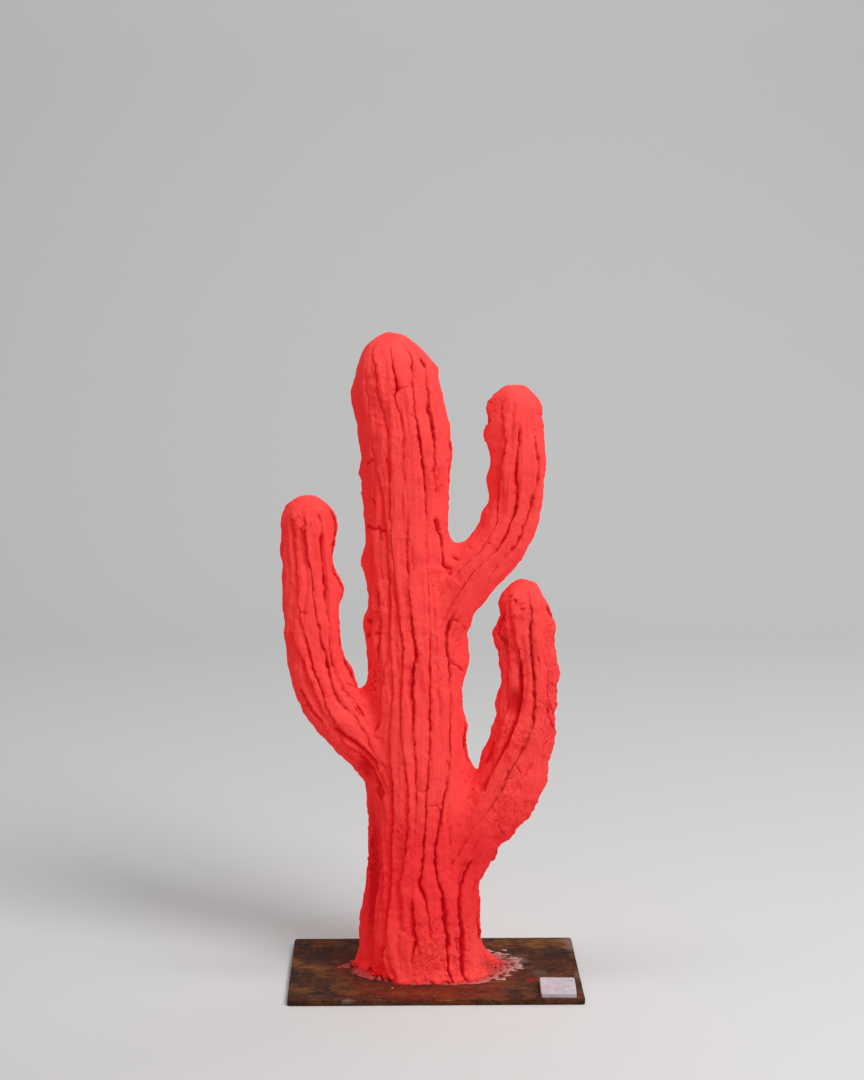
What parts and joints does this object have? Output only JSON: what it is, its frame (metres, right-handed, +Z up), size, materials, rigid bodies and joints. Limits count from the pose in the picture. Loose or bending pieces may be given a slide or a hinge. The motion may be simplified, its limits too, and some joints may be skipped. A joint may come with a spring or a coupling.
{
  "type": "cactus sculpture on a base plate",
  "caption": "Hand-modelled saguaro sculpture with upturned arms, painted matte red, standing on a rusty steel base plate with a small corner tile.",
  "frame": {"origin": "middle of the base plate's underside", "axes": "+Z up along the trunk, -Y towards the front, +X towards the side with two arms"},
  "size_m": [0.2577, 0.165, 0.5575],
  "materials": {
    "rusty_steel": "bare steel sheet, rusted and stained, dull",
    "painted_plaster": "matte fluorescent red paint on hand-worked plaster",
    "rod_steel": "bare welded steel rod",
    "white_plaster": "matte white plaster"
  },
  "bodies": {
    "root": {"base_plate": "rusty_steel", "cactus_body": "painted_plaster", "armature_upright": "rod_steel", "rod_left_arm": "rod_steel", "rod_upper_right_arm": "rod_steel", "rod_lower_right_arm": "rod_steel", "corner_tile": "white_plaster"}
  },
  "joints": []
}
